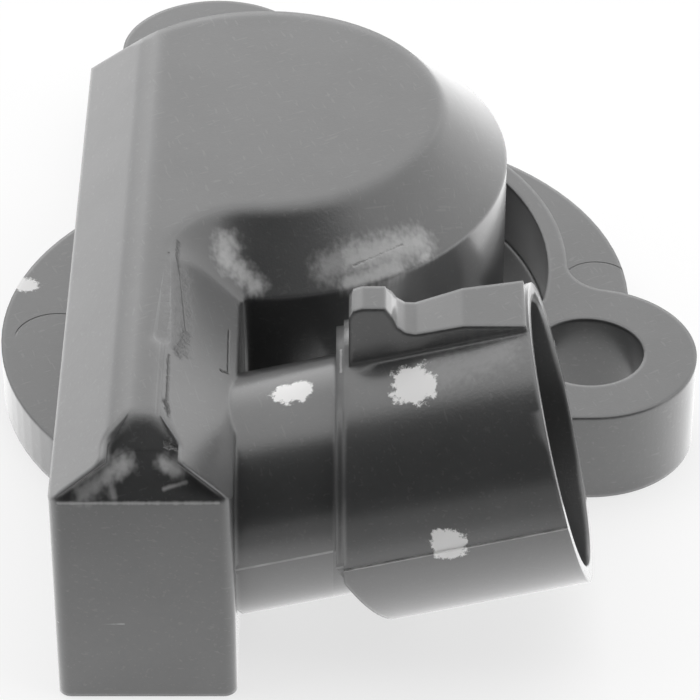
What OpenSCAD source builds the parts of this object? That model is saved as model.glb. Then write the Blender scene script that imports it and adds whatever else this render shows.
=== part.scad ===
// Throttle position sensor: a moulded housing with a three-blade connector,
// a sprung rotor with a wiper, and a resistive element board under the roof.
// Millimetres, +Z away from the mounting face, origin on the rotor axis at the mounting face.

/* [Round body] */
// Radius of the round body wall
dome_r = 15.9; // [15.5:0.1:16.6]
// Width of the sloping shoulder round the top, measured flat
shoulder_run = 4.3; // [3.6:0.1:4.6]
// Height of the flat top above the mounting face
body_h = 18.75; // [18.25:0.25:20.5]
// Height of the top edge of the upright wall
shoulder_z = 14.8; // [14.4:0.1:15.1]

/* [Trunk] */
// Distance from the rotor axis to the left face
trunk_left = 11.8; // [11.6:0.1:12.4]
// Distance from the rotor axis to the right face
trunk_right = 1.1; // [0.8:0.1:1.3]
// Distance from the rotor axis to the front face
trunk_front = 36.1; // [35.9:0.1:38]
// Distance from the rotor axis to the left edge of the ridge
ridge_left = 7.1; // [6.8:0.1:7.4]
// Width of the gentle band along the left of the ridge
crest_run = 1.0; // [0.5:0.1:1.4]
// Fall of that gentle band
crest_drop = 0.55; // [0.3:0.05:0.8]
// Radius at the foot of the valley between the trunk and the round body
valley_r = 0.6; // [0.4:0.1:1.6]
// Length of the notch in the front end of the ridge
nose_run = 3.5; // [2.5:0.1:4.5]
// Slope of the floor of the notch in degrees
nose_slope = 45; // [40:1:48]
// Width that the notch gains on each side towards the front
nose_flare = 1.2; // [0.8:0.1:1.6]
// Depth of the hollow in the front end
scoop_depth = 2.0; // [1.4:0.1:2.4]
// Height of the plain lip that is left under that hollow
scoop_lip = 0.15; // [0.1:0.05:0.4]
// Radius of the upright corners of the trunk
trunk_corner_r = 0.8; // [0.4:0.1:1]
// Width of the flute along the right edge of the ridge, at its wide end
flute_w = 1.7; // [1.2:0.1:2]
// Length of that flute
flute_len = 9.5; // [7:0.5:11]

/* [Flange and ears] */
// Thickness of the flange
flange_t = 3.65; // [3:0.05:4.2]
// Radius of the left side of the flange
flange_left_r = 18.7; // [18:0.1:19.2]
// Radius of the right side of the flange
flange_right_r = 20.0; // [19.6:0.1:20.6]
// Thickness of the ears and the raised rim
ear_t = 6.4; // [5.6:0.1:7]
// Radius of the right ear's tip
ear_r = 7.0; // [6.4:0.1:7.4]
// Radius of the screw holes
hole_r = 3.6; // [2.8:0.1:3.8]
// Distance of the right ear's hole to the right of the rotor axis
ear_1_x = 21.0; // [20:0.5:23]
// Distance of the right ear's hole in front of the rotor axis
ear_1_y = 10.1; // [9.5:0.1:10.3]
// Distance of the back ear's hole to the left of the rotor axis
ear_2_x = 4.0; // [3:0.5:5]
// Distance of the back ear's hole behind the rotor axis
ear_2_y = 26.5; // [25:0.1:28]
// Outer radius of the raised rim
rim_r = 20.1; // [19.8:0.1:20.6]
// Thickness of the raised rim
rim_t = 1.25; // [1:0.05:1.5]
// Thickness of the floor under the moat between the rim and the body
moat_floor = 1.5; // [1.2:0.1:2.4]
// Radius of the fillets where the ears leave the flange
ear_fillet_r = 3; // [2:0.5:4]

/* [Connector] */
// Distance of the connector axis in front of the rotor axis
conn_y = 26.6; // [26.2:0.1:27.2]
// Height of the connector axis at the trunk
conn_z = 7.9; // [7.9:0.1:8.1]
// Upward tilt of the connector in degrees
conn_tilt = 14; // [13:0.5:15]
// Outer radius of the neck
neck_r = 7.2; // [6.8:0.1:7.3]
// Outer radius of the shroud
shroud_r = 9.1; // [8.8:0.1:9.2]
// Wall of the shroud
shroud_wall = 0.85; // [0.7:0.05:1.1]
// Distance from the trunk to the upright face where the shroud starts
shroud_start = 5.95; // [5.6:0.1:6.4]
// Width of the narrower ring at the start of the shroud
lead_w = 0.45; // [0.3:0.05:0.8]
// Step from that ring out to the shroud
lead_step = 0.3; // [0.2:0.05:0.5]
// Step at the parting line, out to the lower half of the shroud
parting_step = 0.1; // [0.05:0.05:0.2]
// Length of the connector along its axis
conn_len = 20.0; // [19:0.5:22]
// Depth of the wide socket
socket_depth = 9.5; // [8:0.5:10.5]
// Radius of the narrow socket behind it
throat_r = 5.9; // [5.7:0.1:6.1]
// Depth of the narrow socket
throat_depth = 4; // [3:0.5:5]
// Lean of the slanted start of the lower half of the shroud in degrees
bevel_lean = 29; // [15:1:35]

/* [Latch] */
// Width of the latch ramp where it leaves the post
latch_w = 3.0; // [2.6:0.1:3.6]
// Height of the foot of the ramp above the mounting face
latch_z = 21.15; // [21:0.05:21.5]
// Rise of the ramp between its foot and its level end
latch_rise = 0.6; // [0.4:0.05:0.8]
// Length of the rising part of the ramp
latch_run = 2.8; // [2:0.1:4]
// Height of the latch post above the mounting face
post_z = 23.0; // [22.6:0.1:24]
// Length of the latch post
post_len = 2.2; // [1.8:0.1:2.6]
// Width of the latch post
post_w = 2.3; // [2:0.1:2.6]

/* [Cavity and cover] */
// Radius of the cavity
cavity_r = 11.2; // [11:0.1:12]
// Height of the cavity roof
roof_z = 15.4; // [15.2:0.05:15.6]
// Gap from the mounting face to the back cover
cover_gap = 0.5; // [0.3:0.05:0.8]
// Thickness of the back cover
cover_t = 1.2; // [1:0.1:1.5]
// Thickness of the cover seal
seal_t = 0.4; // [0.3:0.05:0.6]
// Width of the ledge that the seal and the cover sit on
ledge_w = 0.9; // [0.7:0.05:1.2]
// Height of the bearing boss inside the cover
boss_h = 2.3; // [2:0.1:2.6]
// Wall of the bearing boss
boss_wall = 2.0; // [1.8:0.1:2.2]

/* [Rotor] */
// Radius of the rotor journal
journal_r = 5.0; // [4.8:0.05:5.1]
// Running clearance of the rotor in its bearings
running_gap = 0.06; // [0.04:0.01:0.08]
// Gap between moving pieces that do not touch
free_gap = 0.3; // [0.3:0.05:0.35]
// Radius of the round drive socket
drive_r = 3.0; // [2.8:0.1:3.2]
// Gap from the mounting face to the drive end of the rotor
drive_gap = 0.3; // [0.1:0.05:0.5]
// Depth of the drive socket
drive_depth = 6; // [5:0.5:6.5]
// Width of the cross slot in the drive socket
slot_w = 1.6; // [1.2:0.1:1.8]
// Length of the cross slot from tip to tip
slot_len = 7.6; // [7:0.1:8]
// Step from the journal out to the hub
hub_step = 0.55; // [0.4:0.05:0.8]
// Thickness of the rotor plate
plate_t = 1.8; // [1.5:0.1:2]
// Rim of the plate outside the spring
plate_rim = 0.5; // [0.4:0.1:0.8]
// Reach of the stop tab beyond the plate
tab_reach = 1.4; // [1:0.1:1.8]
// Radius of the rotor spindle
spindle_r = 1.65; // [1.4:0.05:1.8]
// Length of the spindle inside the roof
spindle_in_roof = 1.4; // [1.1:0.1:1.5]
// Travel of the rotor in degrees
travel = 100; // [80:5:110]

/* [Return spring] */
// Thickness of the spring wire
wire_d = 0.9; // [0.7:0.05:1]
// Number of turns
spring_turns = 4; // [3:1:4]
// Distance from turn to turn
spring_pitch = 1.0; // [1.0:0.02:1.04]

/* [Element] */
// Thickness of the element board
board_t = 0.8; // [0.6:0.1:1]
// Thickness of the printed tracks
track_t = 0.15; // [0.1:0.05:0.2]
// Width of each track
track_w = 1.4; // [1.2:0.1:1.6]
// Gap between the two tracks
track_gap = 0.9; // [0.7:0.1:1.2]
// Gap between the board clips and the outer track
track_inset = 0.3; // [0.2:0.05:0.5]
// Thickness of the wiper strip
wiper_t = 0.3; // [0.2:0.05:0.35]
// Distance from the cavity wall to the middle of a board post
post_inset = 1.5; // [1.4:0.05:1.7]
// Radius of the board posts
board_post_r = 0.7; // [0.6:0.05:0.8]
// Width of the ring of a board clip
clip_ring_w = 0.5; // [0.4:0.05:0.6]
// Width of a finger of the wiper
finger_w = 0.3; // [0.25:0.05:0.35]
// Distance from finger to finger
finger_pitch = 0.45; // [0.4:0.05:0.5]
// Width of the base strip of the wiper
wiper_base_w = 1.6; // [1.4:0.1:2]

/* [Terminals] */
// Distance between the blades in the connector
blade_pitch = 3.3; // [3.1:0.1:3.5]
// Width of a blade
blade_w = 1.5; // [1.3:0.1:1.6]
// Thickness of a blade
blade_t = 0.8; // [0.6:0.05:0.9]
// Distance from the mouth of the shroud to the blade tips
blade_setback = 4.5; // [4:0.25:6]
// Thickness of the strips in the trunk
strip_t = 0.6; // [0.5:0.05:0.7]
// Distance between the strips in the trunk
strip_pitch = 2.3; // [2:0.1:2.4]
// Width of the strips in the trunk
strip_w = 1.3; // [1.1:0.1:1.5]
// Distance from the right face of the trunk to the middle of the first strip
strip_inset = 1.6; // [1.5:0.1:2]
// Gap between the board and the strips, bridged by the contact clips
clip_h = 0.7; // [0.6:0.05:0.8]

/* [Hidden] */
$fn = 96;
// Overlap that lets joined solids fuse and cutters pass through a face
eps = 0.5;
big = 60;

housing_color = [0.30, 0.30, 0.31];
cover_color = [0.16, 0.16, 0.17];
rotor_color = [0.80, 0.78, 0.70];
rubber_color = [0.07, 0.07, 0.07];
steel_color = [0.72, 0.72, 0.74];
brass_color = [0.80, 0.62, 0.30];
board_color = [0.86, 0.86, 0.82];
carbon_color = [0.10, 0.10, 0.11];
silver_color = [0.78, 0.79, 0.80];
sealant_color = [0.45, 0.18, 0.12];

// Top of the body
plateau_r = dome_r - shoulder_run;
ridge_right = trunk_right + shoulder_run;
crest_x = ridge_left + crest_run;
crest_z = body_h - crest_drop;

// Flange centres, to the right of and in front of the rotor axis
flange_left_x = 1.35;
flange_left_y = -4.0;
flange_right_x = 4.3;
flange_right_y = 0.1;
flange_front_y = -(ear_1_y + ear_r);
ear_2_r = ear_r - 0.3;
moat_r = rim_r - rim_t;
// Angles between which the moat is open
moat_from = -14;
moat_to = 78;
// Angles between which the rim stands, from ear to ear
rim_from = moat_from - 8;
rim_to = 106;

// Heights inside, from the mounting face up
cover_top = cover_gap + cover_t;
ledge_z = cover_top + seal_t;
boss_top = cover_top + boss_h;
washer_t = 0.35;
hub_z = boss_top + washer_t + free_gap;
spring_z = boss_top + free_gap + wire_d / 2;
spring_top = spring_z + spring_turns * spring_pitch;
plate_z = spring_top + wire_d / 2 + free_gap;
plate_top = plate_z + plate_t;
board_z = roof_z - board_t;
track_z = board_z - track_t;
tip_z = track_z - free_gap;
strip_z = track_z - clip_h - strip_t;

// Radii inside
boss_bore_r = journal_r + running_gap;
boss_r = boss_bore_r + boss_wall;
hub_r = journal_r + hub_step;
spring_r = hub_r + 2 * free_gap + wire_d / 2;
plate_r = spring_r + wire_d + plate_rim;
spindle_boss_r = spindle_r + 0.6;

// Board posts, one to the right and one at the back, and the tracks inside them
post_angles = [-25, 125];
post_circle = cavity_r - post_inset;
board_clip_t = 0.4;
post_top_z = board_z - board_clip_t - 0.1;
resistor_r = post_circle - board_post_r - clip_ring_w - track_inset - track_w / 2;
collector_r = resistor_r - track_w - track_gap;

// The cavity and the board are flat on the left, where they clear the plate and the tracks
board_gap = 0.15;
cavity_flat = max(plate_r + free_gap + 0.1, resistor_r + track_w / 2 + board_gap);
ledge_r = cavity_r + ledge_w;
ledge_flat = cavity_flat + ledge_w;
board_r = cavity_r - board_gap;
board_flat = cavity_flat - board_gap;

// The stop tab of the rotor starts half the travel to the front of the X axis
tab_r = plate_r + tab_reach;
tab_half = 8;
stop_margin = 3;
stop_half = 6;
tab_start = -travel / 2;
stop_in_r = plate_r + free_gap + 0.2;
// The wiper sweeps over the back half of the board
wiper_start = 90 - travel / 2;
track_extra = 12;
track_start = wiper_start - track_extra;
track_end = wiper_start + travel + track_extra;

// Strips run side by side in the trunk; the first is the nearest to the connector
strip_x = [for (i = [0:2]) -(trunk_right + strip_inset + i * strip_pitch)];
strip_y = [for (i = [0:2]) -conn_y + (1 - i) * blade_pitch];
pad_len = 1.6;
pad_edge = 0.5;
pad_y = -sqrt(pow(board_r - pad_edge, 2) - pow(strip_x[2] - strip_w / 2, 2)) + pad_len / 2;
trace_w = 0.6;
pocket_depth = 1.4;
axis_run = 1 / cos(conn_tilt);

function axis_z(x) = conn_z + (x + trunk_right) * tan(conn_tilt);
function on_circle(r, a) = [r * cos(a), r * sin(a)];
function pad_angle(i) = 360 + atan2(pad_y, strip_x[i]);
function pad_reach(i) = norm([strip_x[i], pad_y]);

// A ring of rectangular section between two radii
module ring(r_in, r_out, h) {
    difference() {
        cylinder(r = r_out, h = h);
        translate([0, 0, -eps]) cylinder(r = r_in, h = h + 2 * eps);
    }
}

// A flat sector that reaches past the flange, between two angles
module sector(from, to) {
    steps = 6;
    polygon([[0, 0], for (i = [0:steps]) on_circle(big, from + (to - from) * i / steps)]);
}

// A round disc with one flat side on the left
module d_disc(r, flat, h) {
    intersection() {
        cylinder(r = r, h = h);
        translate([-flat, -big / 2, -eps]) cube([big, big, h + 2 * eps]);
    }
}

// Places its children at the trunk with +X along the connector axis
module on_connector() {
    translate([-trunk_right, -conn_y, conn_z]) rotate([0, -conn_tilt, 0]) children();
}

// A round bar along the connector axis
module conn_bar(r, from, len) {
    on_connector() translate([from, 0, 0]) rotate([0, 90, 0]) cylinder(r = r, h = len);
}

// Extrudes a profile drawn in X and Z from front to back
module along_y(front, back) {
    translate([0, back, 0]) rotate([90, 0, 0]) linear_extrude(back - front) children();
}

// Round body with its sloping shoulder, cut flat on the left
module dome() {
    intersection() {
        union() {
            cylinder(r = dome_r, h = shoulder_z);
            translate([0, 0, shoulder_z]) cylinder(r1 = dome_r, r2 = plateau_r, h = body_h - shoulder_z);
        }
        along_y(-big, big) polygon([
            [-trunk_left, -eps],
            [-trunk_left, shoulder_z],
            [-crest_x, crest_z],
            [-ridge_left, body_h],
            [-ridge_left, body_h + eps],
            [big, body_h + eps],
            [big, -eps]]);
    }
}

// Trunk with its hipped top, and the notch and the hollow in its front end
module trunk() {
    difference() {
        along_y(-trunk_front, 0) polygon([
            [-trunk_left, 0],
            [-trunk_left, shoulder_z],
            [-crest_x, crest_z],
            [-ridge_left, body_h],
            [-ridge_right, body_h],
            [-trunk_right, shoulder_z],
            [-trunk_right, 0]]);
        nose_cut();
        scoop_cut();
        flute_cut();
        for (side = [0, 1]) {
            trunk_corner_cut(side);
        }
    }
}

// Material that rounds the inner corner between the trunk and the round body, slopes included
module valley() {
    x = -trunk_right + valley_r;
    y = -sqrt(pow(dome_r + valley_r, 2) - pow(x, 2));
    difference() {
        linear_extrude(body_h) polygon([[-ridge_right - eps, y], [x, y], [0, 0], [-ridge_right - eps, 0]]);
        translate([x, y, -eps]) cylinder(r = valley_r, h = shoulder_z + 2 * eps);
        translate([x, y, shoulder_z])
            cylinder(r1 = valley_r, r2 = valley_r + shoulder_run, h = body_h - shoulder_z);
    }
}

// Teardrop flute and fine crease along the right edge of the ridge
module flute_cut() {
    half_slope = atan((body_h - shoulder_z) / shoulder_run) / 2;
    lift = 0.75;
    wide_r = sqrt(pow(flute_w / 2, 2) + pow(lift, 2));
    crease_r = 0.22;
    translate([-ridge_right + lift * sin(half_slope), -dome_r + 0.4, body_h + lift * cos(half_slope)]) {
        rotate([90, 0, 0]) cylinder(r1 = lift, r2 = wide_r, h = flute_len);
        translate([0, -flute_len, 0]) scale(wide_r) sphere(r = 1);
    }
    translate([-ridge_right, -dome_r - flute_len + 1, body_h + 0.06])
        rotate([90, 0, 0]) cylinder(r = crease_r, h = trunk_front - dome_r - flute_len - 1);
}

// Notch in the front end of the ridge, with a steep floor and flared sides
module nose_cut() {
    nose_y = -(trunk_front - nose_run);
    wide_y = -(trunk_front - scoop_depth);
    front = -trunk_front - eps;
    intersection() {
        linear_extrude(body_h + eps) polygon([
            [-ridge_left, nose_y],
            [-ridge_left - nose_flare, wide_y],
            [-ridge_left - nose_flare, front],
            [-ridge_right + nose_flare, front],
            [-ridge_right + nose_flare, wide_y],
            [-ridge_right, nose_y]]);
        translate([-big / 2, 0, 0]) rotate([90, 0, 90]) linear_extrude(big) polygon([
            [nose_y, body_h],
            [front, body_h - (nose_y - front) * tan(nose_slope)],
            [front, body_h + eps],
            [nose_y, body_h + eps]]);
    }
}

// Hollow in the front end: a sloping floor between two flanks that rise to the edges of the roof
module scoop_cut() {
    over = 0.2;
    front = -trunk_front - over;
    deep_y = -trunk_front + scoop_depth;
    deep_z = body_h - (nose_run - scoop_depth) * tan(nose_slope) - 0.05;
    lip_z = shoulder_z + scoop_lip;
    low = lip_z - over * (deep_z - lip_z) / scoop_depth;
    mid = -(ridge_left + ridge_right) / 2;
    polyhedron(
        points = [
            [-trunk_left - over, front, low],
            [-ridge_left - over, front, body_h + over],
            [-ridge_right + over, front, body_h + over],
            [-trunk_right + over, front, low],
            [mid - 1, deep_y, deep_z],
            [mid + 1, deep_y, deep_z]],
        faces = [[0, 1, 2, 3], [1, 0, 4], [2, 1, 4, 5], [3, 2, 5], [0, 3, 5, 4]]);
}

// Rounds an upright front corner, on the left for side 0 and on the right for side 1
module trunk_corner_cut(side) {
    x = side == 0 ? -trunk_left : -trunk_right;
    way = side == 0 ? 1 : -1;
    r = trunk_corner_r;
    translate([x + way * r, -trunk_front + r, -eps]) difference() {
        translate([way < 0 ? 0 : -r - eps, -r - eps, 0]) cube([r + eps, r + eps, body_h + 2 * eps]);
        translate([0, 0, -eps]) cylinder(r = r, h = body_h + 4 * eps);
    }
}

// Outline of the thin flange without its ears
module flange_outline() {
    intersection() {
        translate([flange_left_x, flange_left_y]) circle(r = flange_left_r);
        union() {
            translate([-big, -big]) square([big - trunk_right + shroud_start - 1, 2 * big]);
            translate([-big, flange_front_y]) square([2 * big, 2 * big]);
        }
    }
    intersection() {
        translate([flange_right_x, flange_right_y]) circle(r = flange_right_r);
        translate([flange_right_x, flange_front_y]) square([big, big]);
    }
}

// Outline of the right ear, with a straight near edge
module ear_1_outline() {
    translate([ear_1_x, -ear_1_y]) circle(r = ear_r);
    translate([dome_r / 2, flange_front_y]) square([ear_1_x - dome_r / 2, 2 * ear_r]);
}

// Outline of the back ear and its arm
module ear_2_outline() {
    translate([-ear_2_x, ear_2_y]) circle(r = ear_2_r);
    translate([-ear_2_x - ear_2_r, 0]) square([2 * ear_2_r, ear_2_y]);
}

// Closes the inner corners of an outline with fillets
module filleted(r) {
    offset(r = -r) offset(r = r) children();
}

module flange() {
    linear_extrude(flange_t) filleted(ear_fillet_r) {
        flange_outline();
        ear_1_outline();
        ear_2_outline();
    }
}

// Ears and rim at their full height
module raised_rim() {
    linear_extrude(ear_t) filleted(ear_fillet_r) {
        intersection() {
            circle(r = rim_r);
            sector(rim_from, rim_to);
        }
        ear_1_outline();
        ear_2_outline();
    }
}

module moat_cut() {
    translate([0, 0, moat_floor]) intersection() {
        ring(dome_r, moat_r, body_h);
        linear_extrude(body_h) sector(moat_from, moat_to);
    }
}

// Neck and shroud of the connector as one solid bar
module connector_body() {
    intersection() {
        conn_bar(neck_r, -1, shroud_start + 4);
        translate([-trunk_right - 0.7, -big, 0]) cube([big, big, big]);
    }
    difference() {
        union() {
            shroud_bar(shroud_r - lead_step, shroud_start);
            shroud_bar(shroud_r, shroud_start + lead_w);
            intersection() {
                shroud_bar(shroud_r + parting_step, shroud_start + lead_w);
                on_connector() translate([0, -big, -big]) cube([big, 2 * big, big]);
            }
        }
        shroud_bevel_cut();
    }
}

// The part of a bar on the connector axis that lies beyond an upright plane
module shroud_bar(r, from) {
    difference() {
        conn_bar(r, 0, conn_len);
        translate([-big - trunk_right + from, -big, -big / 2]) cube([big, 2 * big, 2 * big]);
    }
}

// Slants the start of the lower half of the shroud
module shroud_bevel_cut() {
    x = -trunk_right + shroud_start;
    z = axis_z(x);
    low = z - 2 * shroud_r;
    along_y(-big, big) polygon([[x, z], [x + (z - low) * tan(bevel_lean), low], [x - big, low], [x - big, z]]);
}

// Latch: a post at the back of the shroud and a ramp that runs out to the mouth
module latch() {
    left = -trunk_right + shroud_start + 0.75;
    foot = left + post_len + 1.7;
    crest = foot + latch_run;
    front = -conn_y - 1.7;
    low = axis_z(left) + shroud_r - 1;
    top = latch_z + latch_rise;
    mouth_x = -trunk_right + (conn_len - 0.15) * cos(conn_tilt);
    mouth_z = conn_z + (conn_len - 0.15) * sin(conn_tilt);
    difference() {
        intersection() {
            along_y(front, front + 2 * latch_w) polygon([
                [left, low],
                [left, post_z - 0.65],
                [left + 0.25, post_z - 0.2],
                [left + 0.8, post_z],
                [left + post_len - 0.1, post_z],
                [left + post_len + 0.3, post_z - 0.6],
                [left + post_len + 0.6, latch_z + 0.55],
                [left + post_len + 1.1, latch_z + 0.12],
                [foot, latch_z],
                [crest, top],
                [mouth_x - (top - mouth_z) * tan(conn_tilt), top],
                [mouth_x - (low - mouth_z) * tan(conn_tilt), low]]);
            linear_extrude(body_h + shroud_r) polygon([
                [left, front],
                [mouth_x, front],
                [mouth_x, front + latch_w + 2.1],
                [left + post_len + 0.6, front + latch_w],
                [left + post_len, front + post_w],
                [left, front + post_w]]);
        }
        conn_bar(shroud_r - 0.3, -5, conn_len + 2 * eps);
    }
}

module socket_cut() {
    conn_bar(shroud_r - shroud_wall, conn_len - socket_depth, socket_depth + eps);
    conn_bar(throat_r, conn_len - socket_depth - throat_depth, throat_depth + eps);
}

module cavity_cut() {
    difference() {
        translate([0, 0, ledge_z - eps]) d_disc(cavity_r, cavity_flat, roof_z - ledge_z + eps);
        stops();
        board_posts();
    }
    translate([0, 0, -eps]) d_disc(ledge_r, ledge_flat, ledge_z + eps);
    cylinder(r = spindle_r + running_gap, h = roof_z + spindle_in_roof + 0.2);
}

// Two ribs in the cavity that stop the rotor tab at the ends of its travel
module stops() {
    reach = cavity_r + eps;
    for (a = [tab_start - tab_half - stop_margin - stop_half,
              tab_start + travel + tab_half + stop_margin + stop_half]) {
        translate([0, 0, ledge_z + 1]) rotate([0, 0, a - stop_half])
            rotate_extrude(angle = 2 * stop_half) translate([stop_in_r, 0])
                square([reach - stop_in_r, plate_top - ledge_z - 1]);
    }
}

module board_posts() {
    for (a = post_angles) {
        translate(concat(on_circle(post_circle, a), [post_top_z])) cylinder(r = board_post_r, h = 5);
    }
}

// Pocket for the sealant round the strips, on the front wall of the cavity
module sealant_block() {
    x_from = strip_x[2] - strip_w / 2 - 0.4;
    x_to = strip_x[0] + strip_w / 2 + 0.4;
    y_wall = -sqrt(pow(cavity_r, 2) - pow(x_from, 2)) + 0.3;
    translate([x_from, -cavity_r - pocket_depth, strip_z - 0.5])
        cube([x_to - x_from, cavity_r + pocket_depth + y_wall, strip_t + 1.0]);
}

module housing() {
    color(housing_color) difference() {
        union() {
            dome();
            trunk();
            valley();
            flange();
            raised_rim();
            connector_body();
            latch();
        }
        moat_cut();
        socket_cut();
        cavity_cut();
        sealant_block();
        for (i = [0:2]) {
            terminal(i);
        }
        for (hole = [[ear_1_x, -ear_1_y], [-ear_2_x, ear_2_y]]) {
            translate([hole[0], hole[1], -eps]) cylinder(r = hole_r, h = ear_t + 2 * eps);
        }
    }
}

// Cover with a bearing boss for the rotor journal
module back_cover() {
    color(cover_color) difference() {
        union() {
            translate([0, 0, cover_gap]) d_disc(ledge_r, ledge_flat, cover_t);
            translate([0, 0, cover_gap]) cylinder(r = boss_r, h = cover_t + boss_h);
            spring_peg();
        }
        translate([0, 0, -eps]) cylinder(r = boss_bore_r, h = boss_top + 2 * eps);
    }
}

// Peg on the cover that holds the lower spring leg
module spring_peg() {
    top = spring_z + wire_d / 2 + 0.6;
    translate([leg_peg[0], leg_peg[1], cover_gap]) cylinder(r = peg_r, h = top - cover_gap);
}

module cover_seal() {
    color(rubber_color) translate([0, 0, cover_top]) difference() {
        d_disc(ledge_r, ledge_flat, seal_t);
        translate([0, 0, -eps]) d_disc(cavity_r, cavity_flat, seal_t + 2 * eps);
    }
}

// Driven rotor: journal with its drive socket, spring hub, plate with stop tab, and spindle
module rotor() {
    color(rotor_color) difference() {
        union() {
            translate([0, 0, drive_gap]) cylinder(r = journal_r, h = hub_z - drive_gap + 0.1);
            translate([0, 0, hub_z]) cylinder(r = hub_r, h = plate_z - hub_z + 0.1);
            translate([0, 0, plate_z]) cylinder(r = plate_r, h = plate_t);
            translate([0, 0, plate_z]) rotate([0, 0, tab_start - tab_half])
                rotate_extrude(angle = 2 * tab_half) translate([plate_r - 1, 0])
                    square([tab_r - plate_r + 1, plate_t]);
            translate([0, 0, plate_top - 0.1])
                cylinder(r = spindle_r, h = roof_z + spindle_in_roof - plate_top + 0.1);
            translate([0, 0, plate_top - 0.1]) cylinder(r = spindle_boss_r, h = 1.0);
        }
        cylinder(r = drive_r, h = drive_gap + drive_depth);
        translate([-slot_len / 2, -slot_w / 2, 0]) cube([slot_len, slot_w, drive_gap + drive_depth]);
        leg_notch();
    }
}

// Slot through the plate for the upper spring leg
module leg_notch() {
    rotate([0, 0, leg_angle + leg_lead])
        translate([spring_r - wire_d, -wire_d / 2 - free_gap - 0.3, plate_z - eps])
            cube([2 * wire_d, wire_d + 2 * (free_gap + 0.3), plate_t + 2 * eps]);
}

module thrust_washer() {
    washer_r = spring_r - wire_d / 2 - free_gap;
    color(steel_color) translate([0, 0, boss_top]) ring(boss_bore_r + 0.1, washer_r, washer_t);
}

// Spring wire route: lower leg out to the peg, the coil, then the upper leg up into the plate
peg_r = 1.0;
leg_angle = 150;
leg_len = 4.2;
leg_lead = 4;
leg_dir = [-sin(leg_angle), cos(leg_angle)];
leg_end = on_circle(spring_r, leg_angle) - leg_len * leg_dir;
leg_peg = leg_end + on_circle(peg_r + wire_d / 2 + 0.1, leg_angle) + 0.6 * leg_dir;
turn_steps = 28;
wire_sides = 8;
coil_steps = turn_steps * spring_turns;
function coil_point(i) = concat(
    on_circle(spring_r, leg_angle + 360 * i / turn_steps),
    [spring_z + i / coil_steps * (spring_top - spring_z)]);
spring_route = concat(
    [concat(leg_end, [spring_z])],
    [for (i = [0:coil_steps]) coil_point(i)],
    [concat(on_circle(spring_r, leg_angle + leg_lead), [spring_top + wire_d]),
     concat(on_circle(spring_r, leg_angle + leg_lead), [plate_top - 0.3])]);

// Sweeps a round wire along a list of points
module wire(route, d) {
    last = len(route) - 1;
    function way(i) = route[min(i + 1, last)] - route[max(i - 1, 0)];
    function unit(v) = v / norm(v);
    function side(i) = unit(cross(unit(way(i)), [0.31, 0.17, 1]));
    function up(i) = cross(side(i), unit(way(i)));
    points = [for (i = [0:last]) for (k = [0:wire_sides - 1])
        route[i] + d / 2 * (cos(360 * k / wire_sides) * side(i) + sin(360 * k / wire_sides) * up(i))];
    sides = [for (i = [0:last - 1]) for (k = [0:wire_sides - 1])
        let (n = (k + 1) % wire_sides)
        [i * wire_sides + k, i * wire_sides + n, (i + 1) * wire_sides + n, (i + 1) * wire_sides + k]];
    ends = [[for (k = [wire_sides - 1:-1:0]) k], [for (k = [0:wire_sides - 1]) last * wire_sides + k]];
    polyhedron(points, concat(sides, ends), convexity = 10);
}

module return_spring() {
    color(steel_color) wire(spring_route, wire_d);
}

// Wiper: a base strip on the rotor plate with fingers that rise to the two tracks
module wiper() {
    strip_from = collector_r - finger_pitch - finger_w;
    strip_to = resistor_r + finger_pitch + finger_w / 2;
    color(brass_color) rotate([0, 0, wiper_start]) {
        translate([strip_from, -1.5 * wiper_base_w, plate_top])
            cube([strip_to - strip_from, wiper_base_w, wiper_t]);
        for (r = [collector_r, resistor_r]) {
            for (k = [-1, 0, 1]) {
                finger(r + finger_pitch * k, finger_w);
            }
        }
    }
}

// One bent finger, rising from the base strip to just under its track
module finger(r, w) {
    run = (tip_z - plate_top) / 2;
    translate([r + w / 2, 0, 0]) rotate([90, 0, -90]) linear_extrude(w) polygon([
        [0.75 * wiper_base_w, plate_top],
        [0.75 * wiper_base_w, plate_top + wiper_t],
        [0.6, plate_top + wiper_t],
        [0.6 - run, tip_z - 0.2],
        [0.2 - run, tip_z],
        [-0.4 - run, tip_z - 0.3],
        [-0.4 - run, tip_z - 0.3 - wiper_t],
        [0.1 - run, tip_z - wiper_t],
        [0.3 - run, tip_z - 0.2 - wiper_t],
        [0.3, plate_top]]);
}

module element_board() {
    color(board_color) translate([0, 0, board_z]) difference() {
        d_disc(board_r, board_flat, board_t);
        translate([0, 0, -eps]) cylinder(r = spindle_boss_r, h = board_t + 2 * eps);
        for (a = post_angles) {
            translate(concat(on_circle(post_circle, a), [-eps]))
                cylinder(r = board_post_r + 0.1, h = board_t + 2 * eps);
        }
    }
}

// Push-on clips that hold the board up against the roof
module board_clips() {
    color(steel_color) for (a = post_angles) {
        translate(concat(on_circle(post_circle, a), [board_z - board_clip_t]))
            ring(board_post_r, board_post_r + clip_ring_w, board_clip_t);
    }
}

// A printed arc on the underside of the board
module track(r, from, to) {
    translate([0, 0, track_z]) rotate([0, 0, from])
        rotate_extrude(angle = to - from) translate([r - track_w / 2, 0]) square([track_w, track_t]);
}

module resistive_track() {
    color(carbon_color) track(resistor_r, track_start, track_end);
}

module collector_track() {
    color(carbon_color) track(collector_r, track_start, track_end);
}

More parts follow.
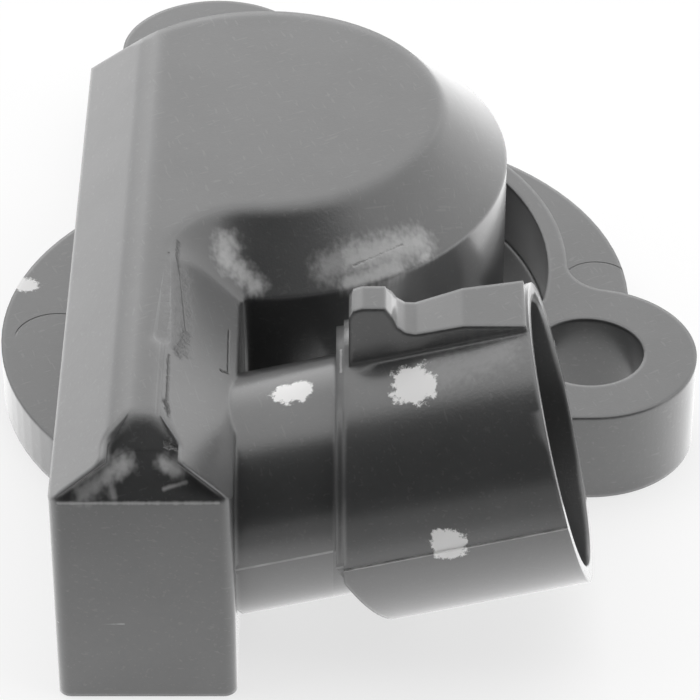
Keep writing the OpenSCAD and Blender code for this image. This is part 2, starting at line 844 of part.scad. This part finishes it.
// A printed trace: a pad under its terminal, a radial run, and an arc to the end of a track
module trace(i, r, from, to) {
    color(silver_color) union() {
        translate([0, 0, track_z]) rotate([0, 0, from])
            rotate_extrude(angle = to - from) translate([r - trace_w / 2, 0]) square([trace_w, track_t]);
        rotate([0, 0, pad_angle(i)]) translate([min(r, pad_reach(i)), -trace_w / 2, track_z])
            cube([abs(pad_reach(i) - r), trace_w, track_t]);
        translate([strip_x[i] - strip_w / 2, pad_y - pad_len / 2, track_z]) cube([strip_w, pad_len, track_t]);
    }
}

module supply_trace() {
    trace(0, resistor_r, pad_angle(0), 360 + track_start);
}

module signal_trace() {
    trace(1, collector_r, track_end, pad_angle(1));
}

module ground_trace() {
    trace(2, resistor_r, track_end, pad_angle(2));
}

// A bent contact clip that stands on a strip and bears on the pad above it
module clip(i) {
    sheet_t = 0.15;
    back = pad_y + pad_len / 2;
    front = pad_y - pad_len / 2;
    color(brass_color) translate([strip_x[i] - strip_w / 2, 0, strip_z + strip_t])
        rotate([90, 0, 90]) linear_extrude(strip_w) polygon([
            [front, 0],
            [back - 0.1, 0],
            [back, 0.1],
            [back, clip_h - 0.1],
            [back - 0.1, clip_h],
            [front, clip_h],
            [front, clip_h - sheet_t],
            [back - sheet_t, clip_h - sheet_t],
            [back - sheet_t, sheet_t],
            [front, sheet_t]]);
}

module supply_clip() {
    clip(0);
}

module signal_clip() {
    clip(1);
}

module ground_clip() {
    clip(2);
}

// A terminal runs from the board along the trunk, down to the connector axis and out as a blade
module terminal(i) {
    x = strip_x[i];
    y = strip_y[i];
    low = axis_z(x);
    front = y - strip_t / 2;
    blade_from = (x + trunk_right) * axis_run;
    translate([x - strip_w / 2, front, strip_z]) cube([strip_w, pad_y + pad_len / 2 - front, strip_t]);
    translate([x - strip_w / 2, front, low - blade_t / 2]) cube([strip_w, strip_t, strip_z + strip_t - low]);
    on_connector() translate([blade_from - blade_t / 2, y + conn_y - blade_w / 2, -blade_t / 2])
        cube([conn_len - blade_setback - blade_from, blade_w, blade_t]);
}

module supply_terminal() {
    color(brass_color) terminal(0);
}

module signal_terminal() {
    color(brass_color) terminal(1);
}

module ground_terminal() {
    color(brass_color) terminal(2);
}

module terminal_sealant() {
    color(sealant_color) difference() {
        intersection() {
            sealant_block();
            translate([-big / 2, -big, 0]) cube([big, big - cavity_r + 0.4, body_h]);
        }
        for (i = [0:2]) {
            terminal(i);
        }
    }
}

housing();
back_cover();
cover_seal();
rotor();
thrust_washer();
return_spring();
wiper();
element_board();
board_clips();
resistive_track();
collector_track();
supply_trace();
signal_trace();
ground_trace();
supply_clip();
signal_clip();
ground_clip();
supply_terminal();
signal_terminal();
ground_terminal();
terminal_sealant();
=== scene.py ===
import math

import bpy
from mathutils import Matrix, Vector


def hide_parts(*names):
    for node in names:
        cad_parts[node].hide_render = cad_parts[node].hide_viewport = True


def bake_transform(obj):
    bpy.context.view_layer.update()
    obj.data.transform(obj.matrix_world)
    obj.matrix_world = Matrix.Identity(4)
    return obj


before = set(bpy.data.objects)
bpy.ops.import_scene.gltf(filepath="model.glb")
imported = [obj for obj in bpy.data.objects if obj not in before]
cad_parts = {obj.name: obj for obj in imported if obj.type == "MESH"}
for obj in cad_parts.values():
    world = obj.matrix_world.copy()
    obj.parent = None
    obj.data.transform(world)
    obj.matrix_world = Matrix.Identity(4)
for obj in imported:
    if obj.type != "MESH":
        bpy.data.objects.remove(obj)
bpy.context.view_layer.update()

MM = 0.001

# Camera: the photograph's view, a long lens that looks down at 36.6 degrees
IMAGE_PX = 700
CAMERA_PLACE = (5.669 * MM, -206.26 * MM, 152.22 * MM)
CAMERA_TILT = math.radians(53.4)
LENS_MM = 195.1
SENSOR_MM = 36.0
CLIP_START = 10 * MM


def make_camera():
    data = bpy.data.cameras.new("photo_camera")
    data.sensor_width = SENSOR_MM
    data.lens = LENS_MM
    data.clip_start = CLIP_START
    camera = bpy.data.objects.new("photo_camera", data)
    camera.location = CAMERA_PLACE
    camera.rotation_euler = (CAMERA_TILT, 0, 0)
    bpy.context.scene.collection.objects.link(camera)
    bpy.context.scene.camera = camera
    return camera


def seen_at(pixel):
    """The point of the housing that the photograph shows at a pixel."""
    focal_px = IMAGE_PX * LENS_MM / SENSOR_MM
    ray = Vector((pixel[0] - IMAGE_PX / 2, IMAGE_PX / 2 - pixel[1], -focal_px))
    ray = (camera.rotation_euler.to_matrix() @ ray).normalized()
    hit, place, _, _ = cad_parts["housing"].ray_cast(Vector(CAMERA_PLACE), ray)
    if not hit:
        raise ValueError(f"the housing isn't seen at {pixel}")
    return place


camera = make_camera()
bpy.context.view_layer.update()


# Lines shorter than this are taken as points
SHORTEST_LINE = 0.01 * MM


class Tree:
    """A short way to write a node tree. An input is a number, a colour or a socket."""

    def __init__(self, tree):
        self.tree = tree
        tree.nodes.clear()

    def set(self, node, inputs):
        for key, value in inputs.items():
            socket = node.inputs[key]
            if isinstance(value, bpy.types.NodeSocket):
                self.tree.links.new(value, socket)
            else:
                socket.default_value = value

    def add(self, kind, inputs=None, **settings):
        node = self.tree.nodes.new(kind)
        for key, value in settings.items():
            setattr(node, key, value)
        self.set(node, inputs or {})
        return node

    def math(self, operation, a, b=0.0, clamp=False):
        return self.add("ShaderNodeMath", {0: a, 1: b}, operation=operation, use_clamp=clamp).outputs[0]

    def vector(self, operation, a, b=(0, 0, 0)):
        node = self.add("ShaderNodeVectorMath", {0: a, 1: b}, operation=operation)
        return node.outputs["Value" if operation in ("LENGTH", "DOT_PRODUCT") else "Vector"]

    def product(self, *factors):
        result = factors[0]
        for factor in factors[1:]:
            result = self.math("MULTIPLY", result, factor)
        return result

    def largest(self, *values):
        result = values[0]
        for value in values[1:]:
            result = self.math("MAXIMUM", result, value)
        return result

    def ramp(self, value, low, high, to_low=0.0, to_high=1.0):
        """value from low to high becomes to_low to to_high, and stays there outside."""
        node = self.add("ShaderNodeMapRange", {"Value": value, "From Min": low, "From Max": high,
                                               "To Min": to_low, "To Max": to_high},
                        interpolation_type="SMOOTHSTEP")
        return node.outputs["Result"]

    def noise(self, place, size_mm, detail=2.0, rough=0.5):
        """Noise with features of about that size."""
        node = self.add("ShaderNodeTexNoise", {"Vector": place, "Scale": 1 / (size_mm * MM),
                                               "Detail": detail, "Roughness": rough})
        return node.outputs["Fac"]

    def swing(self, value, middle, amount):
        """value less middle, times amount."""
        return self.product(self.math("SUBTRACT", value, middle), amount)

    def mix(self, factor, a, b):
        node = self.add("ShaderNodeMix", data_type="RGBA")
        for index, value in ((0, factor), (6, a), (7, b)):
            self.set(node, {index: value})
        return node.outputs[2]

    def lines(self, place, turn, width_mm, length):
        """Fine broken lines that run along x after the turn, length times as long as wide."""
        node = self.add("ShaderNodeMapping",
                        {"Vector": place, "Rotation": turn, "Scale": (length, 1, 1)}, vector_type="TEXTURE")
        return self.noise(node.outputs["Vector"], width_mm, detail=1.0)

    def axis(self, place, name):
        return self.add("ShaderNodeSeparateXYZ", {0: place}).outputs[name]

    def away(self, place, start, end, half_mm):
        """Distance from the straight line between two points, where 1 is half_mm."""
        run = end - start
        offset = self.vector("SUBTRACT", place, tuple(start))
        if run.length > SHORTEST_LINE:
            share = self.vector("DOT_PRODUCT", offset, tuple(run))
            share = self.math("MULTIPLY", share, 1 / run.length_squared, clamp=True)
            along = self.add("ShaderNodeVectorMath", {0: tuple(run), "Scale": share}, operation="SCALE")
            offset = self.vector("SUBTRACT", offset, along.outputs["Vector"])
        return self.product(self.vector("LENGTH", offset), 1 / (half_mm * MM))


# What all materials share. Colour: patches and specks, and the middle range of their noise
PATCH_SHARE, SPECK_SHARE = 0.7, 0.3
SPECK_GRAINS = 3
SHADE_RANGE = (0.3, 0.7)
# Gloss: its patches against those of the colour, and how far it varies
GLOSS_PATCH = 0.6
GLOSS_NOISE = (0.2, 0.8)
GLOSS_RANGE = (0.93, 1.07)
COAT_ROUGH = 0.18
# Fine scratches: two directions, width, length in widths, noise range and brightness
SCRATCH_TURNS = ((0, 0.2, 0.5), (0.3, -0.2, 1.9))
SCRATCH_MM = 0.22
SCRATCH_LENGTH = 26
SCRATCH_NOISE = (0.66, 0.74)
SCRATCH_TINT = 2.2
# Edges painted lighter, partly painted highlight and partly rubbed wear: how far the rounded normal leaves
# the flat one, in which patches, and their brightness
BEVEL_SAMPLES = 8
EDGE_SHEEN_BEND = (0.01, 0.12)
EDGE_SHEEN_NOISE = (0.4, 0.6)
EDGE_SHEEN_LEAST = 0.3
EDGE_SHEEN_TINT = 2.6


def grey(level, warm=0.0):
    return (level * (1 + warm), level, level * (1 - warm), 1)


def tint(colour, factor):
    return tuple(channel * factor for channel in colour[:3]) + (1,)


def surface(name, colour, rough, mottle, grain_mm, grain, metal=0.0, mottle_mm=4.0, edge_mm=0.0,
            scratch=0.0, sheen_and_wear=0.8, specular=0.5, coat=0.0, extra=None):
    """A material with a mottled colour, uneven gloss, a fine grain, and edges rounded by edge_mm and painted
    lighter, as painted highlight and wear.
    """
    material = bpy.data.materials.new(name)
    material.use_nodes = True
    tree = Tree(material.node_tree)
    place = tree.add("ShaderNodeTexCoord").outputs["Object"]
    patches = tree.noise(place, mottle_mm, detail=3.0)
    specks = tree.noise(place, grain_mm * SPECK_GRAINS, detail=3.0, rough=0.7)
    shade = tree.math("ADD", tree.product(patches, PATCH_SHARE), tree.product(specks, SPECK_SHARE))
    base = tree.mix(tree.ramp(shade, *SHADE_RANGE), tint(colour, 1 - mottle), tint(colour, 1 + mottle))
    gloss = tree.ramp(tree.noise(place, mottle_mm * GLOSS_PATCH), *GLOSS_NOISE,
                      *(rough * share for share in GLOSS_RANGE))
    height = tree.noise(place, grain_mm, rough=0.6)
    if scratch:
        for turn in SCRATCH_TURNS:
            marks = tree.lines(place, turn, SCRATCH_MM, SCRATCH_LENGTH)
            base = tree.mix(tree.ramp(marks, *SCRATCH_NOISE, 0.0, scratch), base, tint(colour, SCRATCH_TINT))
    bump = tree.add("ShaderNodeBump", {"Strength": grain, "Distance": grain_mm * MM, "Height": height})
    if edge_mm:
        radius = edge_mm(tree, place) if callable(edge_mm) else edge_mm * MM
        normal = tree.add("ShaderNodeBevel", {"Radius": radius}, samples=BEVEL_SAMPLES).outputs["Normal"]
        tree.set(bump, {"Normal": normal})
        # Edges painted lighter: painted highlight along the rounding, and rubbed wear
        flat = tree.add("ShaderNodeNewGeometry").outputs["True Normal"]
        bend = tree.math("SUBTRACT", 1.0, tree.vector("DOT_PRODUCT", normal, flat))
        edge_sheen = tree.product(tree.ramp(bend, *EDGE_SHEEN_BEND),
                              tree.ramp(patches, *EDGE_SHEEN_NOISE, EDGE_SHEEN_LEAST, sheen_and_wear))
        base = tree.mix(edge_sheen, base, tint(colour, EDGE_SHEEN_TINT))
    shader = tree.add("ShaderNodeBsdfPrincipled", {
        "Base Color": base, "Roughness": gloss, "Metallic": metal, "Normal": bump.outputs["Normal"],
        "Specular IOR Level": specular, "Coat Weight": coat, "Coat Roughness": COAT_ROUGH,
        "Coat Normal": bump.outputs["Normal"]})
    if extra:
        extra(tree, shader, place, base, gloss, bump)
    tree.add("ShaderNodeOutputMaterial", {"Surface": shader.outputs["BSDF"]})
    return material


# Housing: dark moulded plastic, semi-gloss, with painted highlights and painted shade in places, white spots
# of painted highlight, and a few scratches
HOUSING_GREY = grey(0.058, -0.01)
HOUSING_ROUGH = 0.3
# Rounding of the edges, and of the soft edges round the flat top
EDGE_MM = 0.42
TOP_EDGE_MM = 1.3
TOP_START_Z = (17.2 * MM, 18.2 * MM)
TOP_END_Z = (18.9 * MM, 19.2 * MM)
# Painted highlights: white glare spots painted on as colour. The pixel where the camera sees each, then half
# width and half height in mm
GLARE_SPOTS = (
    ((25, 285), 1.0, 0.9),
    ((293, 392), 1.4, 0.95),
    ((412, 384), 1.4, 1.5),
    ((448, 542), 1.25, 1.15),
)
GLARE_WHITE = grey(0.92, 0.005)
# Painted highlights as light grey streaks, and one scratch: start and end pixel, half width in mm, strength
HIGHLIGHTS_AND_SCUFFS = (
    # Painted highlight along the lower edge of the shoulder, from the trunk towards the right
    ((327, 268), (352, 258), 1.2, 0.55),
    ((352, 258), (418, 243), 1.3, 0.85),
    ((350, 284), (395, 268), 0.9, 0.8),
    ((424, 257), (426, 255), 0.45, 0.9),
    # Painted highlight in the inner corner between the shoulder and the trunk
    ((226, 244), (228, 260), 1.0, 1.0),
    ((238, 268), (256, 286), 0.8, 1.0),
    # Painted highlights on the flanks of the hollow in the front end
    ((124, 463), (84, 493), 0.75, 1.0),
    ((164, 463), (178, 471), 0.6, 1.0),
    ((164, 489), (186, 482), 0.16, 0.7),
    ((110, 484), (113, 497), 0.3, 0.6),
    # Front end: a painted highlight along its upper edge, and a thin scratch
    ((58, 503), (218, 503), 0.14, 0.8),
    ((58, 622), (124, 624), 0.07, 0.6),
    # Painted highlights on the edge where the shroud starts, and on its upper side
    ((341, 350), (341, 372), 0.09, 1.0),
    ((436, 374), (500, 352), 1.5, 0.25),
)
HIGHLIGHT_GREY = grey(0.5)
# Painted shade and scars: the same, for dark marks, mostly shade painted into creases
SHADE_AND_SCARS = (
    ((354, 266), (402, 245), 0.12, 0.3),
    # Painted shade in the flute beside the ridge, and in the crease under it
    ((178, 243), (180, 275), 0.2, 0.55),
    ((180, 275), (186, 333), 0.14, 0.4),
    ((186, 333), (178, 352), 0.5, 0.4),
    ((178, 270), (178, 345), 1.0, 0.25),
    ((169, 355), (167, 402), 0.14, 0.5),
    ((166, 402), (168, 445), 0.26, 0.85),
    ((169, 445), (178, 447), 0.22, 0.7),
    # Hook-shaped nick beside the neck
    ((229, 330), (228, 372), 0.1, 0.45),
    ((228, 373), (221, 370), 0.14, 0.45),
)
# Round marks of the mould's ejector pins: the centre's pixel and the radius in mm
PIN_MARKS = (
    ((56, 338), 2.7),
    ((597, 282), 2.3),
)
# Their painted shadow, a line on the far half of each ring where its step is shaded: half width with its
# fade, strength, height that it keeps to, and the fade at its ends
PIN_LINE = (0.03 * MM, 0.09 * MM)
PIN_SHADOW_STRENGTH = 0.7
PIN_HEIGHT = (0.1 * MM, 0.2 * MM)
PIN_END = 1.5 * MM
# Axis of the connector at the trunk, and its tilt: below it the other half of the mould shows
AXIS_START = (-1.1 * MM, -26.6 * MM, 7.9 * MM)
AXIS_TILT = math.radians(14)
# Where the connector's outer skin lies: right of the trunk, in front of this Y, and at least
# so far from its axis, first at the neck and then at the shroud
CONNECTOR_LEFT_X = (-1.15 * MM, -1.05 * MM)
CONNECTOR_BACK_Y = (-17.4 * MM, -17.3 * MM)
SHROUD_X = (4.6 * MM, 4.8 * MM)
SKIN_RADIUS = (6.5 * MM, 8.5 * MM)
# Lower half of the mould: where its duller skin starts, painted paler to stand for the light it catches from
# below, and how much of it there is
LOWER_START = (0.01 * MM, 0.05 * MM)
LOWER_SHEEN_GREY = grey(0.15)
LOWER_PALE, LOWER_DULL = 0.55, 0.1
# Parting line between the halves, painted lighter over the shade of its step: half width with its fade, and
# strength
SEAM_LINE = (0.03 * MM, 0.11 * MM)
SEAM_STRENGTH = 0.75
# Near the parting line the edges are this much less rounded
SEAM_SHARP = 0.95
SEAM_REACH = (0.2 * MM, 0.4 * MM)
# The noise that varies this painted light along the parting line, and the strengths between which it varies
SEAM_NOISE = (0.35, 0.6)
SEAM_LIGHT_RANGE = (0.5, 1.0)
# How far a mark fades out past its half width, and how ragged the painted highlight streaks and the dark
# marks of painted shade are
MARK_FADE = 1.3
HIGHLIGHT_RAGGED, SHADE_AND_SCAR_RAGGED = 1.0, 2.4
# The painted highlight streaks run in upright strands of this width and length in widths, and are slightly
# speckled
STRAND_TURN = (0, math.radians(-90), 0)
STRAND_MM, STRAND_LENGTH = 0.35, 6
HIGHLIGHT_NOISE = (0.25, 0.65)
HIGHLIGHT_SPECKS = (0.85, 1.0)
HIGHLIGHT_ROUGH = 0.55
# Share of the gloss that a painted highlight streak takes away
HIGHLIGHT_DULL = 0.6
SHADE_AND_SCAR_MIDDLE = 0.45
SHADE_AND_SCAR_BLACK = grey(0.01)
SHADE_AND_SCAR_DEPTH = 0.1 * MM
# How ragged the white spots of painted highlight are, in small and in wide bends, where their edge lies, and
# their roughness
RAGGED_MM, BEND_MM = 0.45, 1.3
GLARE_RAGGED, GLARE_BENDS = 1.1, 0.8
GLARE_EDGE = (0.8, 1.0)
GLARE_ROUGH = 0.6


def covered(tree, place, marks, ragged):
    """How strongly a set of straight marks covers each point."""
    strokes = []
    for start, end, half_mm, strength in marks:
        away = tree.math("ADD", tree.away(place, seen_at(start), seen_at(end), half_mm), ragged)
        strokes.append(tree.ramp(away, 0.0, MARK_FADE, strength, 0.0))
    return tree.largest(*strokes)


def pin_ring_shadows(tree, place):
    """The far half of each round ejector mark, as a thin dark line of painted shadow under its step."""
    rings = []
    for pixel, radius_mm in PIN_MARKS:
        offset = tree.vector("SUBTRACT", place, tuple(seen_at(pixel)))
        step = tree.math("SUBTRACT", tree.vector("LENGTH", offset), radius_mm * MM)
        line = tree.ramp(tree.math("ABSOLUTE", step), *PIN_LINE, PIN_SHADOW_STRENGTH, 0.0)
        level = tree.ramp(tree.math("ABSOLUTE", tree.axis(offset, "Z")), *PIN_HEIGHT, 1.0, 0.0)
        far = tree.ramp(tree.axis(offset, "Y"), 0.0, PIN_END)
        rings.append(tree.product(line, level, far))
    return tree.largest(*rings)


def painted_glare(tree, place, edge, wide):
    """Where the ragged white spots of painted highlight lie."""
    dabs = []
    for pixel, half_w, half_h in GLARE_SPOTS:
        offset = tree.vector("SUBTRACT", place, tuple(seen_at(pixel)))
        shares = (1 / (half_w * MM), 1 / (half_h * MM), 1 / (half_h * MM))
        away = tree.vector("LENGTH", tree.vector("MULTIPLY", offset, shares))
        away = tree.math("ADD", away, tree.swing(edge, 0.5, GLARE_RAGGED))
        away = tree.math("ADD", away, tree.swing(wide, 0.5, GLARE_BENDS))
        dabs.append(tree.ramp(away, *GLARE_EDGE, 1.0, 0.0))
    return tree.largest(*dabs)


def above_axis(tree, place):
    """Height above the plane through the connector's axis, where its two mould halves meet."""
    offset = tree.vector("SUBTRACT", place, AXIS_START)
    return tree.vector("DOT_PRODUCT", offset, (-math.sin(AXIS_TILT), 0, math.cos(AXIS_TILT)))


def on_connector(tree, place):
    """1 on the outer skin of the neck and the shroud, and 0 in the socket."""
    across = tree.math("SUBTRACT", tree.axis(place, "Y"), AXIS_START[1])
    offset = tree.add("ShaderNodeCombineXYZ", {"X": across, "Y": above_axis(tree, place)}).outputs[0]
    least = tree.ramp(tree.axis(place, "X"), *SHROUD_X, *SKIN_RADIUS)
    outside = tree.math("GREATER_THAN", tree.vector("LENGTH", offset), least)
    right = tree.ramp(tree.axis(place, "X"), *CONNECTOR_LEFT_X)
    front = tree.ramp(tree.axis(place, "Y"), *CONNECTOR_BACK_Y, 1.0, 0.0)
    return tree.product(outside, right, front)


def housing_edges(tree, place):
    """Radius of the rounded edges: large round the top, tiny at the step between the mould halves."""
    height = tree.axis(place, "Z")
    top = tree.product(tree.ramp(height, *TOP_START_Z), tree.ramp(height, *TOP_END_Z, 1.0, 0.0))
    radius = tree.math("ADD", tree.product(top, (TOP_EDGE_MM - EDGE_MM) * MM), EDGE_MM * MM)
    seam = tree.ramp(tree.math("ABSOLUTE", above_axis(tree, place)), *SEAM_REACH, SEAM_SHARP, 0.0)
    seam = tree.product(seam, on_connector(tree, place))
    return tree.product(radius, tree.math("SUBTRACT", 1.0, seam))


def housing_marks(tree, shader, place, base, gloss, bump):
    """Lower mould half painted paler, painted light on the parting line, painted highlight streaks, painted
    shade and nicks, then ragged white spots of painted highlight.
    """
    edge = tree.noise(place, RAGGED_MM, detail=4.0, rough=0.75)
    wide = tree.noise(place, BEND_MM, detail=1.0)
    strands = tree.lines(place, STRAND_TURN, STRAND_MM, STRAND_LENGTH)
    above = above_axis(tree, place)
    connector = on_connector(tree, place)

    # Painted light: the connector's lower half painted paler for the light it catches from below, and made
    # duller
    low = tree.product(tree.ramp(above, *LOWER_START, 1.0, 0.0), connector)
    base = tree.mix(tree.product(low, LOWER_PALE), base, LOWER_SHEEN_GREY)
    gloss = tree.math("ADD", gloss, tree.product(low, LOWER_DULL))

    # Painted light on the parting line, lightening the shade of its small step
    seam = tree.ramp(tree.math("ABSOLUTE", above), *SEAM_LINE, SEAM_STRENGTH, 0.0)
    seam = tree.product(seam, connector, tree.ramp(wide, *SEAM_NOISE, *SEAM_LIGHT_RANGE))
    # Light grey streaks painted on as highlights, and the painted light of the parting line
    highlight_and_scuff = tree.product(covered(tree, place, HIGHLIGHTS_AND_SCUFFS, tree.swing(strands, 0.5, HIGHLIGHT_RAGGED)),
                         tree.ramp(edge, *HIGHLIGHT_NOISE, *HIGHLIGHT_SPECKS))
    highlight_and_scuff = tree.largest(highlight_and_scuff, seam)
    base = tree.mix(highlight_and_scuff, base, HIGHLIGHT_GREY)
    gloss = tree.largest(gloss, tree.product(highlight_and_scuff, HIGHLIGHT_ROUGH))

    # Dark marks: shade painted into creases and the flute, a nick, and the painted shadow of the ejector
    # marks
    shade_and_scar = tree.largest(covered(tree, place, SHADE_AND_SCARS, tree.swing(edge, SHADE_AND_SCAR_MIDDLE, SHADE_AND_SCAR_RAGGED)),
                        pin_ring_shadows(tree, place))
    base = tree.mix(shade_and_scar, base, SHADE_AND_SCAR_BLACK)
    groove = tree.add("ShaderNodeBump", {"Strength": 1.0, "Distance": SHADE_AND_SCAR_DEPTH, "Height": shade_and_scar,
                                         "Normal": bump.outputs["Normal"]}, invert=True)
    # White spots painted on as highlights
    glare = painted_glare(tree, place, edge, wide)
    dull = tree.largest(tree.product(highlight_and_scuff, HIGHLIGHT_DULL), shade_and_scar, glare)
    tree.set(shader, {
        "Base Color": tree.mix(glare, base, GLARE_WHITE),
        "Roughness": tree.largest(gloss, tree.product(glare, GLARE_ROUGH)),
        "Normal": groove.outputs["Normal"],
        "Coat Normal": groove.outputs["Normal"],
        "Coat Weight": tree.math("SUBTRACT", 1.0, dull)})


finishes = {
    "housing_plastic": surface("housing_plastic", HOUSING_GREY, HOUSING_ROUGH, mottle=0.12, mottle_mm=5.0,
                               grain_mm=0.16, grain=0.045, edge_mm=housing_edges, scratch=0.3,
                               specular=0.7, coat=1.0, extra=housing_marks),
    "cover_plastic": surface("cover_plastic", grey(0.03), 0.42, mottle=0.2, grain_mm=0.14, grain=0.12,
                             edge_mm=0.15, scratch=0.3),
    "seal_rubber": surface("seal_rubber", grey(0.018), 0.7, mottle=0.25, mottle_mm=2.0,
                           grain_mm=0.08, grain=0.3),
    "rotor_plastic": surface("rotor_plastic", (0.5, 0.46, 0.35, 1), 0.4, mottle=0.06, mottle_mm=3.0,
                             grain_mm=0.1, grain=0.08, edge_mm=0.12, sheen_and_wear=0.2),
    "spring_steel": surface("spring_steel", grey(0.5, 0.02), 0.28, metal=1.0, mottle=0.12, mottle_mm=1.0,
                            grain_mm=0.06, grain=0.15, scratch=0.15),
    "contact_brass": surface("contact_brass", (0.62, 0.38, 0.13, 1), 0.3, metal=1.0, mottle=0.12,
                             mottle_mm=1.2, grain_mm=0.06, grain=0.15, scratch=0.15),
    "board": surface("board", (0.55, 0.55, 0.46, 1), 0.5, mottle=0.1, mottle_mm=1.5,
                     grain_mm=0.1, grain=0.2),
    "carbon_ink": surface("carbon_ink", grey(0.015), 0.5, mottle=0.3, mottle_mm=0.8,
                          grain_mm=0.05, grain=0.2),
    "silver_ink": surface("silver_ink", grey(0.6), 0.45, metal=1.0, mottle=0.1, mottle_mm=0.6,
                          grain_mm=0.05, grain=0.3),
    "terminal_metal": surface("terminal_metal", (0.66, 0.54, 0.33, 1), 0.25, metal=1.0, mottle=0.1,
                              mottle_mm=1.2, grain_mm=0.07, grain=0.15, edge_mm=0.06, scratch=0.2, sheen_and_wear=0.3),
    "sealant": surface("sealant", (0.2, 0.05, 0.03, 1), 0.35, mottle=0.2, mottle_mm=1.5,
                       grain_mm=0.15, grain=0.2),
}
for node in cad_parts.values():
    for holder in node.material_slots:
        holder.material = finishes[holder.material.name]


def make_spring():
    """A copy of the spring's mesh, shown in place of the hidden spring part."""
    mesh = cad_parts["return_spring"].data.copy()
    spring = bpy.data.objects.new("wound_spring", mesh)
    bpy.context.scene.collection.objects.link(spring)
    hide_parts("return_spring")
    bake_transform(spring)


make_spring()

# Studio: light from behind and overhead, an unlit camera side, and a pale floor
BACK_LIGHT = 1.35
FRONT_LIGHT = 0.03
# The lit half lies this way, and ends between these depths
BACK_WAY = (0.1, 0.99, 0.0)
BACK_EDGE = (-0.42, -0.14)
# The light overhead against that at the back, and the heights between which it grows
OVERHEAD = 1.25
OVERHEAD_EDGE = (0.65, 0.95)
# How much darker the low left end is, and where it ends towards the right and upwards
LEFT_DIM = 0.42
LEFT_EDGE_X = (-0.65, -0.3)
LEFT_EDGE_Z = (0.15, 0.55)
# A brighter panel behind on the left, which the ridge of the trunk mirrors
PANEL_WAY = (-0.433, 0.806, 0.403)
PANEL_EDGE = (0.9, 0.99)
PANEL_LIGHT = 1.3
FLOOR_HALF = 2.0
FLOOR_Z = -0.05 * MM
FLOOR_GREY = 0.5
# The floor shines most near the object, and fades towards the camera
FLOOR_LIGHT = 1.0
FLOOR_FADE_Y = (-75 * MM, -35 * MM)
# Share of the floor's white that the camera sees whatever the shadow
FLOOR_GLOW = 0.7


def make_world():
    world = bpy.data.worlds.new("studio")
    bpy.context.scene.world = world
    world.use_nodes = True
    tree = Tree(world.node_tree)
    ray = tree.add("ShaderNodeTexCoord").outputs["Generated"]
    height = tree.axis(ray, "Z")
    light = tree.ramp(tree.vector("DOT_PRODUCT", ray, BACK_WAY), *BACK_EDGE, FRONT_LIGHT, BACK_LIGHT)
    overhead = tree.ramp(height, *OVERHEAD_EDGE, 1.0, OVERHEAD)
    left = tree.product(tree.ramp(tree.axis(ray, "X"), *LEFT_EDGE_X, 1.0, 0.0),
                        tree.ramp(height, *LEFT_EDGE_Z, 1.0, 0.0), LEFT_DIM)
    panel = tree.ramp(tree.vector("DOT_PRODUCT", ray, PANEL_WAY), *PANEL_EDGE, 1.0, PANEL_LIGHT)
    light = tree.product(light, overhead, tree.math("SUBTRACT", 1.0, left), panel)
    # The camera sees plain white, also through clear pieces
    path = tree.add("ShaderNodeLightPath").outputs
    shown = tree.largest(path["Is Camera Ray"], path["Is Transmission Ray"])
    level = tree.math("ADD", tree.product(light, tree.math("SUBTRACT", 1.0, shown)), shown)
    background = tree.add("ShaderNodeBackground", {"Color": grey(1.0), "Strength": level})
    tree.add("ShaderNodeOutputWorld", {"Surface": background.outputs[0]})


def floor_material():
    """White to the camera but for the shadow, a grey glow to the object, and clear from below."""
    material = bpy.data.materials.new("floor_white")
    material.use_nodes = True
    tree = Tree(material.node_tree)
    seen = tree.add("ShaderNodeLightPath").outputs["Is Camera Ray"]
    colour = tree.mix(seen, grey(FLOOR_GREY), grey(1.0))
    pale = tree.add("ShaderNodeBsdfDiffuse", {"Color": colour}).outputs[0]
    white = tree.add("ShaderNodeEmission", {"Color": grey(1.0), "Strength": 1.0}).outputs[0]
    pale = tree.add("ShaderNodeMixShader", {0: tree.product(seen, FLOOR_GLOW), 1: pale, 2: white}).outputs[0]
    place = tree.add("ShaderNodeTexCoord").outputs["Object"]
    near = tree.ramp(tree.axis(place, "Y"), *FLOOR_FADE_Y)
    lift = tree.product(tree.math("SUBTRACT", 1.0, seen), FLOOR_LIGHT, near)
    lit = tree.add("ShaderNodeEmission", {"Color": grey(1.0), "Strength": lift}).outputs[0]
    pale = tree.add("ShaderNodeAddShader", {0: pale, 1: lit}).outputs[0]
    clear = tree.add("ShaderNodeBsdfTransparent").outputs[0]
    below = tree.product(tree.add("ShaderNodeNewGeometry").outputs["Backfacing"], seen)
    mixed = tree.add("ShaderNodeMixShader", {0: below, 1: pale, 2: clear})
    tree.add("ShaderNodeOutputMaterial", {"Surface": mixed.outputs[0]})
    return material


def make_floor():
    mesh = bpy.data.meshes.new("floor")
    signs = ((-1, -1), (1, -1), (1, 1), (-1, 1))
    corners = [(x * FLOOR_HALF, y * FLOOR_HALF, FLOOR_Z) for x, y in signs]
    mesh.from_pydata(corners, [], [(0, 1, 2, 3)])
    mesh.materials.append(floor_material())
    floor = bpy.data.objects.new("floor", mesh)
    bpy.context.scene.collection.objects.link(floor)


make_world()
make_floor()

bpy.context.scene.view_settings.view_transform = "Standard"
